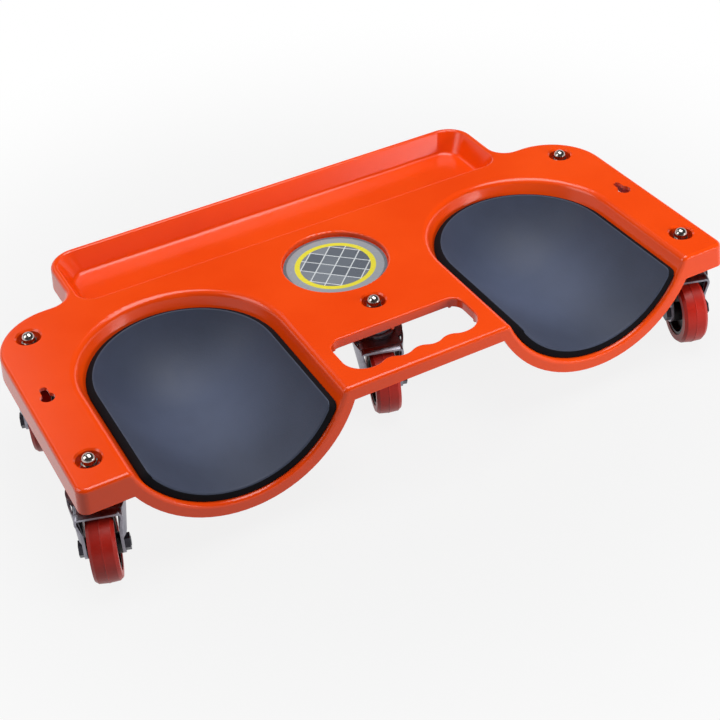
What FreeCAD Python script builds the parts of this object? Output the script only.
"""Tiler's rolling platform: a moulded deck with two padded knee wells, a tool tray,
a hand slot and five swivel castors.

Millimetres. The floor is z = 0, x = 0 is the mirror plane, the tool tray is on the +Y
side and the hand slot on the -Y side, where the user's shins leave the wells.
"""
import FreeCAD, Part
import math
import os

Vector = FreeCAD.Vector

# Deck outline
deck_half_length = 322.0
deck_near_y = -160.3
deck_width = 256.3
near_corner_radius = 9.0
far_corner_radius = 58.0
wall = 3.5
skirt_height = 23.0
edge_radius = 4.0
draft_angle = 5.0

# Tool tray behind the deck
tray_half_width = 236.5
tray_width = 95.0
tray_overlap = 10.0
tray_depth = 22.0
tray_rim_width = 6.0
tray_lip_radius = 1.8
tray_end_slope = 11.0
tray_far_slope = 10.0
tray_near_slope = 6.0
tray_corner_radius = 28.0
tray_floor_radius = 18.0
tray_root_radius = 20.0
tray_floor_fillet = 6.0

# Knee wells: a round trough with a round far end, open to the near side
well_inset = 142.5
well_length = 120.3
well_radius = 102.0
well_depth = 68.0
well_rim_radius = 7.0
lip_height = 12.0

# Knee pads, glued into the wells
pad_thickness = 8.5
pad_half_angle = 62.0
pad_setback = 3.8
pad_corner_radius = 6.0
glue_gap = 0.3

# Hand slot along the near edge, with the land left between it and the wells
slot_land = 16.3
slot_width = 50.0
slot_near_corner = 20.0
slot_far_corner = 12.0
slot_depth = 9.5
inner_edge_radius = 1.5
finger_pitch = 30.0
finger_depth = 4.0
handle_bar_width = 16.3
handle_bar_height = 13.0

# Round label in a dished recess, with the land left towards the middle castor and the tray
label_near_land = 12.5
label_far_land = 18.0
label_thickness = 0.5
label_recess = 6.0
label_gap = 1.0

# Hanging keyholes
keyhole_inset = 19.0
keyhole_setback = 129.3
keyhole_head_radius = 6.5
keyhole_slot_radius = 3.5
keyhole_length = 12.0

# Castor places from the deck's edges and the slot, and the direction in which the wheels trail
near_castor_inset = 22.0
near_castor_setback = 36.3
far_castor_inset = 32.0
far_castor_setback = 34.0
centre_castor_setback = 35.0
castor_rest_angle = -108.0

# Castor bolted through a pocket in the deck
pocket_radius = 11.0
pocket_depth = 12.0
pocket_chamfer = 1.5
boss_wall = 3.0
boss_floor = 6.0
stud_radius = 4.0
stud_clearance = 0.2
thread_clearance = 0.05
washer_radius = 9.0
washer_thickness = 1.6
nut_across_flats = 13.0
cap_nut_hex_height = 6.5
cap_nut_height = 15.0
cap_nut_dome_radius = 6.0
cap_nut_bore_depth = 11.0

# Underside ribs
rib_thickness = 2.5
rib_height = 8.0
rib_spacing = 60.0

# Swivel castor
castor_trail = 28.0
wheel_clearance = 4.5
swivel_cup_radius = 14.0
swivel_cup_height = 10.5
swivel_cup_flat_radius = 9.5
swivel_cup_rim = 4.0
cup_sheet = 2.0
race_gap = 0.3
race_wall = 1.9
race_step = 5.0
race_chamfer = 0.7
housing_radius = 18.5
housing_rise = 9.5
housing_under_skirt = 0.5
kingpin_radius = 5.0
kingpin_head_radius = 8.0
kingpin_head_height = 3.0
running_clearance = 0.05
fork_sheet = 2.5
fork_inner_width = 29.0
fork_crown_width = 40.0
fork_side_height = 6.0
fork_jog_height = 20.0
fork_bend_radius = 4.0
crown_back_length = 20.5
crown_front_length = 27.0
crown_front_drop = 8.0
crown_back_drop = 13.0
axle_eye_radius = 9.0
hood_radius = 25.0
hood_foot_radius = 20.0
hood_height = 19.0

# Wheel, axle bolt and lock nut
wheel_diameter = 63.0
tread_width = 23.0
tread_depth = 8.5
tread_shoulder = 2.8
tread_crown = 0.6
hub_rim_width = 21.0
hub_rim_depth = 3.0
hub_web = 9.0
hub_boss_radius = 9.0
hub_side_gap = 0.3
axle_radius = 4.0
bolt_head_height = 4.0
lock_nut_height = 4.5
bolt_end = 0.5

# Places that follow in plan
deck_far_y = deck_near_y + deck_width
tray_near_y = deck_far_y - tray_overlap
tray_far_y = tray_near_y + tray_width
well_x = deck_half_length - well_inset
well_end_y = deck_near_y + well_length
well_mouth = math.sqrt(well_radius ** 2 - (well_radius - well_depth) ** 2)
slot_half_length = well_x - well_mouth - slot_land
slot_near_y = deck_near_y + handle_bar_width
slot_far_y = slot_near_y + slot_width
near_castor_x = deck_half_length - near_castor_inset
near_castor_y = deck_near_y + near_castor_setback
far_castor_x = deck_half_length - far_castor_inset
far_castor_y = deck_far_y - far_castor_setback
centre_castor_y = slot_far_y + centre_castor_setback
label_near_y = centre_castor_y + pocket_radius + pocket_chamfer + label_near_land
label_far_y = tray_near_y - label_far_land
label_y = (label_near_y + label_far_y) / 2
label_dish_radius = (label_far_y - label_near_y) / 2
label_radius = label_dish_radius - label_gap
keyhole_x = deck_half_length - keyhole_inset
keyhole_y = deck_near_y + keyhole_setback
rib_lines_x = (-rib_spacing, 0.0, rib_spacing)
rib_lines_y = (near_castor_y, centre_castor_y, label_y, far_castor_y)

# Heights that follow
wheel_radius = wheel_diameter / 2
crown_bottom = wheel_diameter + wheel_clearance
crown_top = crown_bottom + fork_sheet
skirt_bottom = crown_top + housing_rise + housing_under_skirt
deck_top = skirt_bottom + skirt_height
castor_height = deck_top - pocket_depth - boss_floor
well_axis_z = deck_top - well_depth + well_radius
well_rim_x = math.sqrt((well_radius + well_rim_radius) ** 2
                       - (well_axis_z - deck_top + well_rim_radius) ** 2)
tray_floor_z = deck_top - tray_depth
hub_radius = wheel_radius - tread_depth
cup_bottom = castor_height - swivel_cup_height
fork_half_width = fork_inner_width / 2 + fork_sheet

castors = {
    "rear_left": (-near_castor_x, near_castor_y),
    "rear_right": (near_castor_x, near_castor_y),
    "front_left": (-far_castor_x, far_castor_y),
    "front_right": (far_castor_x, far_castor_y),
    "centre": (0.0, centre_castor_y),
}
well_centres = {"left": -well_x, "right": well_x}
above = 20.0


def rounded_polygon(corners, z):
    """A closed wire at height z through (x, y, radius) corners, each rounded by an arc."""
    count = len(corners)
    points = [Vector(x, y, z) for x, y, radius in corners]
    reach = []
    for i in range(count):
        back = (points[i - 1] - points[i]).normalize()
        ahead = (points[(i + 1) % count] - points[i]).normalize()
        turn = math.acos(max(-1.0, min(1.0, back.dot(ahead))))
        reach.append(corners[i][2] / math.tan(turn / 2))
    limit = list(reach)
    for i in range(count):
        j = (i + 1) % count
        room = 0.98 * (points[j] - points[i]).Length / max(reach[i] + reach[j], 1e-6)
        if room < 1:
            limit[i] = min(limit[i], reach[i] * room)
            limit[j] = min(limit[j], reach[j] * room)
    edges = []
    starts = []
    ends = []
    for i in range(count):
        back = (points[i - 1] - points[i]).normalize()
        ahead = (points[(i + 1) % count] - points[i]).normalize()
        start = points[i] + back * limit[i]
        end = points[i] + ahead * limit[i]
        middle_way = (back + ahead).normalize()
        half_turn = math.acos(max(-1.0, min(1.0, back.dot(ahead)))) / 2
        radius = limit[i] * math.tan(half_turn)
        middle = points[i] + middle_way * (radius / math.sin(half_turn) - radius)
        starts.append(start)
        ends.append(end)
        edges.append(Part.Arc(start, middle, end).toShape() if radius > 0 else None)
    closed = []
    for i in range(count):
        if edges[i]:
            closed.append(edges[i])
        closed.append(Part.LineSegment(ends[i], starts[(i + 1) % count]).toShape())
    return Part.Wire(closed)


def prism(wire, height):
    """A solid raised from a flat wire."""
    return Part.Face(wire).extrude(Vector(0, 0, height))


def box(x0, x1, y0, y1, z0, z1):
    return Part.makeBox(x1 - x0, y1 - y0, z1 - z0, Vector(x0, y0, z0))


def cylinder(radius, x, y, z0, z1):
    return Part.makeCylinder(radius, z1 - z0, Vector(x, y, z0))


def turned(points, axis_point, axis):
    """A solid of revolution from (radius, height) points along an axis."""
    way = Vector(axis).normalize()
    side = Vector(1, 0, 0) if abs(way.x) < 0.5 else Vector(0, 1, 0)
    base = Vector(axis_point)
    loop = [base + side * r + way * h for r, h in points]
    face = Part.Face(Part.makePolygon(loop + loop[:1]))
    return face.revolve(base, way, 360)


def hexagon(across_flats, centre, axis, height):
    """A hexagonal prism along an axis."""
    way = Vector(axis).normalize()
    side = Vector(1, 0, 0) if abs(way.x) < 0.5 else Vector(0, 1, 0)
    other = way.cross(side)
    radius = across_flats / math.sqrt(3)
    loop = []
    for i in range(6):
        angle = math.radians(60 * i)
        loop.append(Vector(centre) + side * radius * math.cos(angle) + other * radius * math.sin(angle))
    return Part.Face(Part.makePolygon(loop + loop[:1])).extrude(way * height)


def fuse(shapes):
    return shapes[0].multiFuse(shapes[1:]).removeSplitter()


def middle_of(edge):
    return edge.valueAt((edge.FirstParameter + edge.LastParameter) / 2)


def round_edges(shape, radius, wanted):
    """Round every edge of the shape whose middle and ends pass the test."""
    edges = []
    for edge in shape.Edges:
        points = [middle_of(edge)] + [vertex.Point for vertex in edge.Vertexes]
        if all(wanted(p) for p in points):
            edges.append(edge)
    return shape.makeFillet(radius, edges)


def front_y(z):
    """The near face leans out towards its foot by the draft angle."""
    return deck_near_y - (deck_top - z) * math.tan(math.radians(draft_angle))


def outline(grow, z):
    """Plan outline of deck and tray at a height, drafted, moved outwards by grow, square in front."""
    grow = grow + (deck_top - z) * math.tan(math.radians(draft_angle))
    side = deck_half_length + grow
    tray_side = tray_half_width + grow
    near = deck_near_y - above
    far = deck_far_y + grow
    tray_far = tray_far_y + grow
    root = tray_root_radius - grow
    far_round = far_corner_radius + grow
    tray_round = tray_corner_radius + grow
    return rounded_polygon([
        (-side, near, 0), (side, near, 0), (side, far, far_round), (tray_side, far, root),
        (tray_side, tray_far, tray_round), (-tray_side, tray_far, tray_round),
        (-tray_side, far, root), (-side, far, far_round)], z)


def near_slab(back, depth):
    """Everything between two planes parallel to the near face, given by their set-backs."""
    top = deck_top + above
    foot = -above
    loop = [Vector(-2 * deck_half_length, front_y(z) + y, z)
            for y, z in ((back, top), (back, foot), (back + depth, foot), (back + depth, top))]
    return Part.Face(Part.makePolygon(loop + loop[:1])).extrude(Vector(4 * deck_half_length, 0, 0))


def deck_block(grow, bottom, top):
    """Drafted solid of the whole outline, cut to the near face."""
    block = Part.makeLoft([outline(grow, bottom), outline(grow, top)], True, True)
    return block.cut(near_slab(-4 * above - grow, 4 * above))


def tray_ring(grow, z):
    """The inner outline of the tool tray at a height, moved outwards by grow."""
    rise = (z - tray_floor_z) / tray_depth - 1
    half = tray_half_width - tray_rim_width + grow + rise * tray_end_slope
    far = tray_far_y - tray_rim_width + grow + rise * tray_far_slope
    near = tray_near_y - grow - rise * tray_near_slope
    top_round = tray_corner_radius - tray_rim_width
    far_round = top_round + grow + rise * (top_round - tray_floor_radius)
    near_round = tray_floor_radius + grow
    return rounded_polygon([
        (-half, near, near_round), (half, near, near_round),
        (half, far, far_round), (-half, far, far_round)], z)


def tray_pan(grow, bottom, top):
    """The tapered pan of the tool tray, moved outwards by grow."""
    pan = Part.makeLoft([tray_ring(grow, bottom), tray_ring(grow, top)], True, True)

    def on_floor(p):
        return abs(p.z - bottom) < 0.01

    return round_edges(pan, tray_floor_fillet + grow, on_floor)


def well_body(x, radius):
    """Trough and round end of one knee well up to the deck, with the given radius."""
    axis_start = Vector(x, deck_near_y - above, well_axis_z)
    length = well_end_y - deck_near_y + above
    trough = Part.makeCylinder(radius, length, axis_start, Vector(0, 1, 0))
    end = Part.makeSphere(radius, Vector(x, well_end_y, well_axis_z), Vector(0, 1, 0), 0, 90, 360)
    whole = trough.fuse(end)
    keep = box(x - 2 * radius, x + 2 * radius, deck_near_y - radius, well_end_y + 2 * radius,
               well_axis_z - 2 * radius, deck_top)
    whole = whole.common(keep).removeSplitter()
    return whole.cut(near_slab(-4 * above, 4 * above))


def well_hollow(x):
    """What the knee takes out of the deck: the well's inside with its rounded rim."""
    share = well_radius / (well_radius + well_rim_radius)
    meet_x = well_rim_x * share
    meet_z = well_axis_z - (well_axis_z - deck_top + well_rim_radius) * share
    tangent = math.atan2(meet_x, well_axis_z - meet_z)
    rim_centre_z = deck_top - well_rim_radius
    rim_turn = (tangent - math.pi) / 2

    def at(px, pz):
        return Vector(x + px, well_end_y, pz)

    def on_bowl(angle):
        return at(well_radius * math.sin(angle), well_axis_z - well_radius * math.cos(angle))

    def on_rim(side):
        return at(side * (well_rim_x + well_rim_radius * math.sin(rim_turn)),
                  rim_centre_z + well_rim_radius * math.cos(rim_turn))

    top = deck_top + above
    right_rim = [Part.Arc(on_bowl(tangent), on_rim(1), at(well_rim_x, deck_top)).toShape(),
                 Part.LineSegment(at(well_rim_x, deck_top), at(well_rim_x, top)).toShape()]
    left_rim = [Part.LineSegment(at(-well_rim_x, top), at(-well_rim_x, deck_top)).toShape(),
                Part.Arc(at(-well_rim_x, deck_top), on_rim(-1), on_bowl(-tangent)).toShape()]
    section = Part.Wire(
        [Part.Arc(on_bowl(-tangent), on_bowl(0), on_bowl(tangent)).toShape()] + right_rim
        + [Part.LineSegment(at(well_rim_x, top), at(-well_rim_x, top)).toShape()] + left_rim)
    half = Part.Wire(
        [Part.Arc(on_bowl(0), on_bowl(tangent / 2), on_bowl(tangent)).toShape()] + right_rim
        + [Part.LineSegment(at(well_rim_x, top), at(0, top)).toShape(),
           Part.LineSegment(at(0, top), on_bowl(0)).toShape()])
    trough = Part.Face(section).extrude(Vector(0, deck_near_y - above - well_end_y, 0))
    end = Part.Face(half).revolve(at(0, 0), Vector(0, 0, 1), 180)
    return trough.fuse(end).removeSplitter()


def well_lip(x):
    """The flange that hangs round the near end of a well."""
    reach = well_radius + lip_height
    start = Vector(x, deck_near_y - 2 * above, well_axis_z)
    disc = Part.makeCylinder(reach, 4 * above, start, Vector(0, 1, 0))
    keep = box(x - reach, x + reach, deck_near_y - 2 * above, deck_near_y + 2 * above,
               well_axis_z - reach, deck_top)
    return disc.common(keep).common(near_slab(0, wall))


def slot_outline(grow, z):
    """The hand slot without its finger waves, moved outwards by grow."""
    side = slot_half_length + grow
    near = slot_near_y - grow
    far = slot_far_y + grow
    near_round = slot_near_corner + grow
    far_round = slot_far_corner + grow
    return rounded_polygon([(-side, near, near_round), (side, near, near_round),
                            (side, far, far_round), (-side, far, far_round)], z)


def finger_ridges(z, height):
    """The ridges between the fingers, which swell from the slot's near wall and run out smoothly."""
    flat = slot_half_length - slot_near_corner
    count = int(2 * flat / finger_pitch)
    quarter = finger_pitch / 4
    rise = finger_depth / 2
    bend = (quarter ** 2 + rise ** 2) / finger_depth
    half_turn = math.asin(quarter / bend) / 2
    ease_x = bend * math.sin(half_turn)
    ease_y = bend * (1 - math.cos(half_turn))
    near = slot_near_y
    back = slot_near_y - wall

    def at(px, py):
        return Vector(px, py, z)

    ridges = []
    for i in range(count):
        x = (i - (count - 1) / 2) * finger_pitch
        left = x - 2 * quarter
        right = x + 2 * quarter
        ridges.append(prism(Part.Wire([
            Part.Arc(at(left, near), at(left + ease_x, near + ease_y),
                     at(x - quarter, near + rise)).toShape(),
            Part.Arc(at(x - quarter, near + rise), at(x, near + finger_depth),
                     at(x + quarter, near + rise)).toShape(),
            Part.Arc(at(x + quarter, near + rise), at(right - ease_x, near + ease_y),
                     at(right, near)).toShape(),
            Part.LineSegment(at(right, near), at(right, back)).toShape(),
            Part.LineSegment(at(right, back), at(left, back)).toShape(),
            Part.LineSegment(at(left, back), at(left, near)).toShape()]), height))
    return ridges


def hand_slot():
    """What the hand slot takes out of the deck."""
    height = skirt_height + above
    slot = prism(slot_outline(0, skirt_bottom), height)
    for ridge in finger_ridges(skirt_bottom, height):
        slot = slot.cut(ridge)
    return slot.removeSplitter()


def castor_boss(x, y):
    return cylinder(pocket_radius + boss_wall, x, y, castor_height, deck_top)


def castor_pocket(x, y):
    """Pocket for the cap nut, with a chamfered mouth, and the hole for the stud."""
    floor = deck_top - pocket_depth
    stud_hole = stud_radius + stud_clearance
    return turned([
        (0, castor_height - 1), (stud_hole, castor_height - 1), (stud_hole, floor),
        (pocket_radius, floor), (pocket_radius, deck_top - pocket_chamfer),
        (pocket_radius + pocket_chamfer, deck_top), (pocket_radius + pocket_chamfer, deck_top + above),
        (0, deck_top + above)], (x, y, 0), (0, 0, 1))


def keyhole(x):
    """Round entry towards the near edge, narrow slot towards the tray."""
    bottom = skirt_bottom
    top = deck_top + above
    end_y = keyhole_y + keyhole_length
    return fuse([
        cylinder(keyhole_head_radius, x, keyhole_y, bottom, top),
        box(x - keyhole_slot_radius, x + keyhole_slot_radius, keyhole_y, end_y, bottom, top),
        cylinder(keyhole_slot_radius, x, end_y, bottom, top)])


def top_height(x):
    """Height of the deck's upper surface where the near face cuts it."""
    across = min(abs(x - centre) for centre in well_centres.values())
    meet_x = well_rim_x * well_radius / (well_radius + well_rim_radius)
    if across >= well_rim_x:
        return deck_top
    if across >= meet_x:
        return deck_top - well_rim_radius + math.sqrt(well_rim_radius ** 2 - (well_rim_x - across) ** 2)
    return well_axis_z - math.sqrt(well_radius ** 2 - across ** 2)


def platform_moulding():
    """The orange deck: skirt, wells, tray, hand slot, bosses and underside ribs in one shell."""
    small = 0.01
    deck = deck_block(0, skirt_bottom, deck_top)
    shells = [well_body(x, well_radius + wall) for x in well_centres.values()]
    lips = [well_lip(x) for x in well_centres.values()]
    pan = tray_pan(wall, tray_floor_z - wall, deck_top)
    bar_bottom = deck_top - handle_bar_height
    under_bar = box(-well_x, well_x, deck_near_y - above, deck_near_y + wall, skirt_bottom - 1, bar_bottom)
    for shape in shells + lips:
        under_bar = under_bar.cut(shape)
    body = fuse([deck, pan] + shells + lips).cut(under_bar)
    for x in well_centres.values():
        body = body.cut(well_hollow(x))
    body = body.cut(tray_pan(0, tray_floor_z, deck_top + above))
    body = body.removeSplitter()

    def at_near_corner(p):
        side = deck_half_length + (deck_top - p.z) * math.tan(math.radians(draft_angle))
        return abs(p.y - front_y(p.z)) < small and abs(abs(p.x) - side) < small

    body = round_edges(body, near_corner_radius, at_near_corner)
    rim_wire = outline(0, deck_top)
    corner_x = deck_half_length - near_corner_radius

    def on_outer_rim(p):
        if abs(p.y - front_y(p.z)) < small:
            return abs(p.z - top_height(p.x)) < small
        if abs(p.z - deck_top) > small:
            return False
        near_corner = abs(p.x) > corner_x and p.y < deck_near_y + near_corner_radius
        return near_corner or Part.Vertex(p).distToShape(rim_wire)[0] < small

    body = round_edges(body, edge_radius, on_outer_rim)
    tray_wire = tray_ring(0, deck_top)

    def on_tray_rim(p):
        return abs(p.z - deck_top) < small and Part.Vertex(p).distToShape(tray_wire)[0] < small

    body = round_edges(body, tray_lip_radius, on_tray_rim)
    body = body.cut(hand_slot())
    body = body.cut(cylinder(label_dish_radius, 0, label_y, deck_top - label_recess, deck_top + above))

    def on_inner_rim(p):
        in_slot = abs(p.x) < slot_half_length + small and slot_near_y - small < p.y < slot_far_y + small
        on_dish = abs(math.hypot(p.x, p.y - label_y) - label_dish_radius) < small
        return abs(p.z - deck_top) < small and (in_slot or on_dish)

    body = round_edges(body, inner_edge_radius, on_inner_rim)

    hollow = deck_block(-wall, skirt_bottom - 1, deck_top - wall)
    rib_bottom = deck_top - wall - rib_height
    ribs = []
    for x in rib_lines_x:
        ribs.append(box(x - rib_thickness / 2, x + rib_thickness / 2, slot_far_y, tray_far_y,
                        rib_bottom, deck_top))
    for y in rib_lines_y:
        ribs.append(box(-deck_half_length, deck_half_length, y - rib_thickness / 2,
                        y + rib_thickness / 2, rib_bottom, deck_top))
    bosses = [castor_boss(x, y) for x, y in castors.values()]
    slot_wall = prism(slot_outline(wall, deck_top - slot_depth), slot_depth)
    dish_wall = cylinder(label_dish_radius + wall, 0, label_y, deck_top - label_recess - wall, deck_top)
    for shape in shells + [pan, slot_wall, dish_wall] + bosses + ribs:
        hollow = hollow.cut(shape)
    body = body.cut(hollow)

    cuts = [castor_pocket(x, y) for x, y in castors.values()]
    cuts += [keyhole(x) for x in (-keyhole_x, keyhole_x)]
    for shape in cuts:
        body = body.cut(shape)
    return body.removeSplitter()


def knee_pad(x):
    """A sheet of foam bent into the well, cut square at its rim and rounded at its near corners."""
    outer = well_radius - glue_gap
    inner = outer - pad_thickness
    turn = math.radians(pad_half_angle)

    def at(radius, angle):
        return Vector(x + radius * math.sin(angle), well_end_y, well_axis_z - radius * math.cos(angle))

    section = Part.Wire([
        Part.Arc(at(outer, -turn), at(outer, 0), at(outer, turn)).toShape(),
        Part.LineSegment(at(outer, turn), at(inner, turn)).toShape(),
        Part.Arc(at(inner, turn), at(inner, 0), at(inner, -turn)).toShape(),
        Part.LineSegment(at(inner, -turn), at(outer, -turn)).toShape()])
    half = Part.Wire([
        Part.Arc(at(outer, 0), at(outer, turn / 2), at(outer, turn)).toShape(),
        Part.LineSegment(at(outer, turn), at(inner, turn)).toShape(),
        Part.Arc(at(inner, turn), at(inner, turn / 2), at(inner, 0)).toShape(),
        Part.LineSegment(at(inner, 0), at(outer, 0)).toShape()])
    trough = Part.Face(section).extrude(Vector(0, deck_near_y - above - well_end_y, 0))
    end = Part.Face(half).revolve(Vector(x, well_end_y, 0), Vector(0, 0, 1), 180)
    pad = trough.fuse(end).removeSplitter().cut(near_slab(pad_setback - 4 * above, 4 * above))

    def at_near_corner(p):
        angle = math.atan2(abs(p.x - x), well_axis_z - p.z)
        return abs(p.y - front_y(p.z) - pad_setback) < 0.01 and abs(angle - turn) < 0.001

    return round_edges(pad, pad_corner_radius, at_near_corner)


def label_disc():
    floor = deck_top - label_recess
    return cylinder(label_radius, 0, label_y, floor, floor + label_thickness)


def washer(x, y):
    floor = deck_top - pocket_depth
    ring = cylinder(washer_radius, x, y, floor, floor + washer_thickness)
    return ring.cut(cylinder(stud_radius + stud_clearance, x, y, floor - 1, floor + washer_thickness + 1))


def cap_nut(x, y):
    """Low hexagonal nut with a domed cap and a blind thread."""
    base = deck_top - pocket_depth + washer_thickness
    dome_rise = cap_nut_height - cap_nut_hex_height
    ball = (cap_nut_dome_radius ** 2 + dome_rise ** 2) / (2 * dome_rise)
    dome = Part.makeSphere(ball, Vector(x, y, base + cap_nut_height - ball))
    hex_top = base + cap_nut_hex_height
    dome = dome.common(cylinder(cap_nut_dome_radius, x, y, hex_top, base + cap_nut_height))
    nut = fuse([hexagon(nut_across_flats, (x, y, base), (0, 0, 1), cap_nut_hex_height), dome])
    bore = stud_radius + thread_clearance
    return nut.cut(cylinder(bore, x, y, base - 1, base + cap_nut_bore_depth))


def castor_stem(x, y):
    """Threaded stud, shoulder and riveted head in one pin."""
    stud_top = deck_top - pocket_depth + washer_thickness + cap_nut_bore_depth - 1
    head_top = crown_bottom - race_gap
    return turned([
        (0, head_top - kingpin_head_height), (kingpin_head_radius, head_top - kingpin_head_height),
        (kingpin_head_radius, head_top), (kingpin_radius, head_top), (kingpin_radius, castor_height),
        (stud_radius, castor_height), (stud_radius, stud_top), (0, stud_top)], (x, y, 0), (0, 0, 1))


def swivel_cup(x, y):
    """Pressed bearing cup that stays with the deck."""
    hole = kingpin_radius + running_clearance
    shoulder = castor_height - swivel_cup_height + swivel_cup_rim
    inner = swivel_cup_radius - cup_sheet
    return turned([
        (hole, castor_height), (swivel_cup_flat_radius, castor_height), (swivel_cup_radius, shoulder),
        (swivel_cup_radius, cup_bottom), (inner, cup_bottom), (inner, shoulder - cup_sheet / 2),
        (swivel_cup_flat_radius - cup_sheet / 2, castor_height - cup_sheet),
        (hole, castor_height - cup_sheet)], (x, y, 0), (0, 0, 1))


def tangent_point(point, centre, radius, side):
    """Where a line from a point touches a circle, in the (x, z) plane."""
    dx = centre[0] - point[0]
    dz = centre[1] - point[1]
    angle = math.atan2(dz, dx) + side * math.asin(radius / math.hypot(dx, dz))
    reach = math.sqrt(dx * dx + dz * dz - radius * radius)
    return (point[0] + reach * math.cos(angle), point[1] + reach * math.sin(angle))


def fork():
    """Pressed yoke with tapered arms, axle eyes, a round hood and a raised lower race; trail along +X."""
    eye = (castor_trail, wheel_radius)
    front = (crown_front_length, crown_top - crown_front_drop)
    back = (-crown_back_length, crown_top - crown_back_drop)
    front_touch = tangent_point(front, eye, axle_eye_radius, 1)
    back_touch = tangent_point(back, eye, axle_eye_radius, -1)

    def at(px, pz):
        return Vector(px, 0, pz)

    def line(a, b):
        return Part.LineSegment(at(*a), at(*b)).toShape()

    low = (eye[0], eye[1] - axle_eye_radius)
    side_wire = Part.Wire([
        line((-crown_back_length, crown_top), (crown_front_length, crown_top)),
        line((crown_front_length, crown_top), front), line(front, front_touch),
        Part.Arc(at(*front_touch), at(*low), at(*back_touch)).toShape(),
        line(back_touch, back), line(back, (-crown_back_length, crown_top))])
    side = Part.Face(side_wire).extrude(Vector(0, fork_crown_width, 0))
    side.translate(Vector(0, -fork_crown_width / 2, 0))

    reach = 3 * crown_front_length
    half = fork_half_width
    wide = fork_crown_width / 2
    jog = crown_top - fork_jog_height

    def section(inset, top):
        loop = [(half - inset, -above), (half - inset, jog), (wide - inset, crown_top - fork_side_height),
                (wide - inset, top), (inset - wide, top), (inset - wide, crown_top - fork_side_height),
                (inset - half, jog), (inset - half, -above)]
        points = [Vector(-reach, py, pz) for py, pz in loop]
        solid = Part.Face(Part.makePolygon(points + points[:1])).extrude(Vector(2 * reach, 0, 0))

        def on_bend(p):
            return abs(abs(p.y) - wide + inset) < 0.01 and abs(p.z - top) < 0.01

        return round_edges(solid, fork_bend_radius - inset, on_bend)

    yoke = side.common(section(0, crown_top).cut(section(fork_sheet, crown_bottom)))
    opening = swivel_cup_radius + race_gap
    neck = opening + race_wall
    step_top = crown_top + race_step
    race_top = crown_top + housing_rise
    housing = turned([
        (opening, crown_bottom), (housing_radius, crown_bottom), (housing_radius, step_top - race_chamfer),
        (housing_radius - race_chamfer, step_top), (neck, step_top), (neck, race_top - race_chamfer),
        (neck - race_chamfer, race_top), (opening, race_top)], (0, 0, 0), (0, 0, 1))
    hood_foot = Vector(0, 0, crown_top - hood_height)
    hood = Part.makeCone(hood_foot_radius, hood_radius, hood_height, hood_foot)
    hood = hood.cut(Part.makeCone(hood_foot_radius - fork_sheet, hood_radius - fork_sheet,
                                  hood_height - fork_sheet, hood_foot))
    hood = hood.cut(box(0, reach, -fork_inner_width / 2, fork_inner_width / 2, 0, crown_bottom))
    yoke = fuse([yoke, hood, housing])
    yoke = yoke.cut(cylinder(kingpin_radius + running_clearance, 0, 0, 0, deck_top))
    axle_hole = Part.makeCylinder(axle_radius + stud_clearance, 2 * reach,
                                  Vector(castor_trail, -reach, wheel_radius), Vector(0, 1, 0))
    return yoke.cut(axle_hole)


def axle_bolt():
    head_y = -fork_half_width - bolt_head_height
    head = hexagon(nut_across_flats, (castor_trail, head_y, wheel_radius), (0, 1, 0), bolt_head_height)
    length = 2 * fork_half_width + lock_nut_height + bolt_end
    shank = Part.makeCylinder(axle_radius, length, Vector(castor_trail, -fork_half_width, wheel_radius),
                              Vector(0, 1, 0))
    return fuse([head, shank])


def lock_nut():
    centre = (castor_trail, fork_half_width, wheel_radius)
    nut = hexagon(nut_across_flats, centre, (0, 1, 0), lock_nut_height)
    thread = axle_radius + thread_clearance
    return nut.cut(Part.makeCylinder(thread, lock_nut_height, Vector(centre), Vector(0, 1, 0)))


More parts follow.
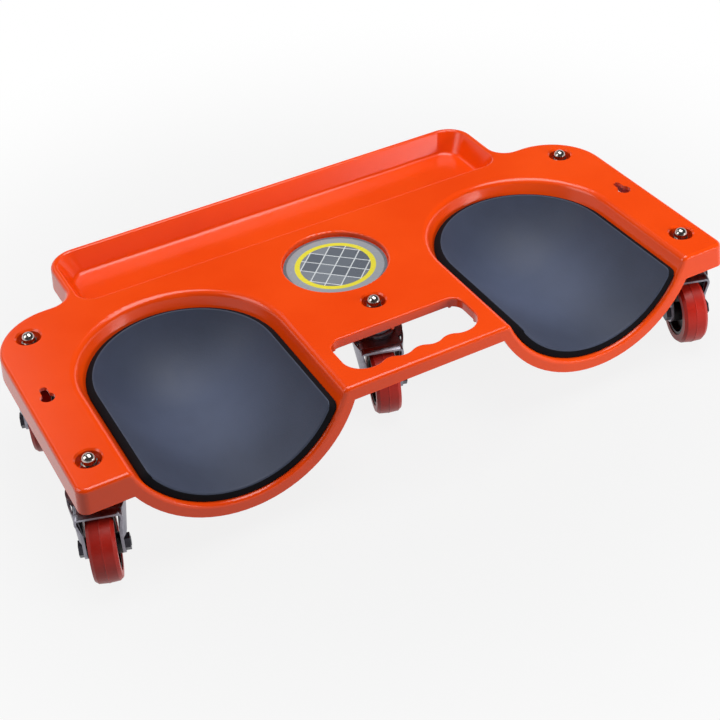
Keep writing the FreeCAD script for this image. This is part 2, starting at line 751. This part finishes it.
def mirrored_profile(points):
    """Close a half profile of (radius, height) points by its mirror image below."""
    return points + [(r, -h) for r, h in reversed(points)]


def wheel_hub():
    """Black wheel centre: rim, recessed web and long boss."""
    bore = axle_radius + running_clearance
    boss_half = fork_inner_width / 2 - hub_side_gap
    rim_inner = hub_radius - hub_rim_depth
    profile = mirrored_profile([
        (hub_radius, hub_rim_width / 2), (rim_inner, hub_rim_width / 2), (rim_inner, hub_web / 2),
        (hub_boss_radius, hub_web / 2), (hub_boss_radius, boss_half), (bore, boss_half)])
    return turned(profile, (castor_trail, 0, wheel_radius), (0, 1, 0))


def wheel_tread():
    """Red tyre with eased shoulders and a slightly raised middle."""
    half = tread_width / 2
    profile = mirrored_profile([
        (wheel_radius, 0), (wheel_radius - tread_crown, half - tread_shoulder),
        (wheel_radius - tread_shoulder, half), (hub_radius + running_clearance, half)])
    return turned(profile[1:] + profile[:1], (castor_trail, 0, wheel_radius), (0, 1, 0))


def at_castor(shape, place):
    """Turn a castor piece to its resting direction and set it under its stem."""
    placed = shape.copy()
    placed.rotate(Vector(0, 0, 0), Vector(0, 0, 1), castor_rest_angle)
    placed.translate(Vector(place[0], place[1], 0))
    return placed


def save(shape, node):
    shape.exportStep("parts/" + node + ".step")
    box_size = shape.BoundBox
    print("%-24s solids %d  valid %s  volume %.1f  size %.1f x %.1f x %.1f" % (
        node, len(shape.Solids), shape.isValid(), shape.Volume,
        box_size.XLength, box_size.YLength, box_size.ZLength))


os.makedirs("parts", exist_ok=True)
save(platform_moulding(), "platform_moulding")
for side, x in well_centres.items():
    save(knee_pad(x), "knee_pad_" + side)
save(label_disc(), "label_disc")
for node, make in (("cap_nuts", cap_nut), ("washers", washer), ("castor_stems", castor_stem),
                   ("swivel_cups", swivel_cup)):
    save(Part.makeCompound([make(x, y) for x, y in castors.values()]), node)
for node, make in (("fork", fork), ("axle_bolt", axle_bolt), ("lock_nut", lock_nut),
                   ("wheel_hub", wheel_hub), ("wheel_tread", wheel_tread)):
    shape = make()
    for name, place in castors.items():
        save(at_castor(shape, place), node + "_" + name)
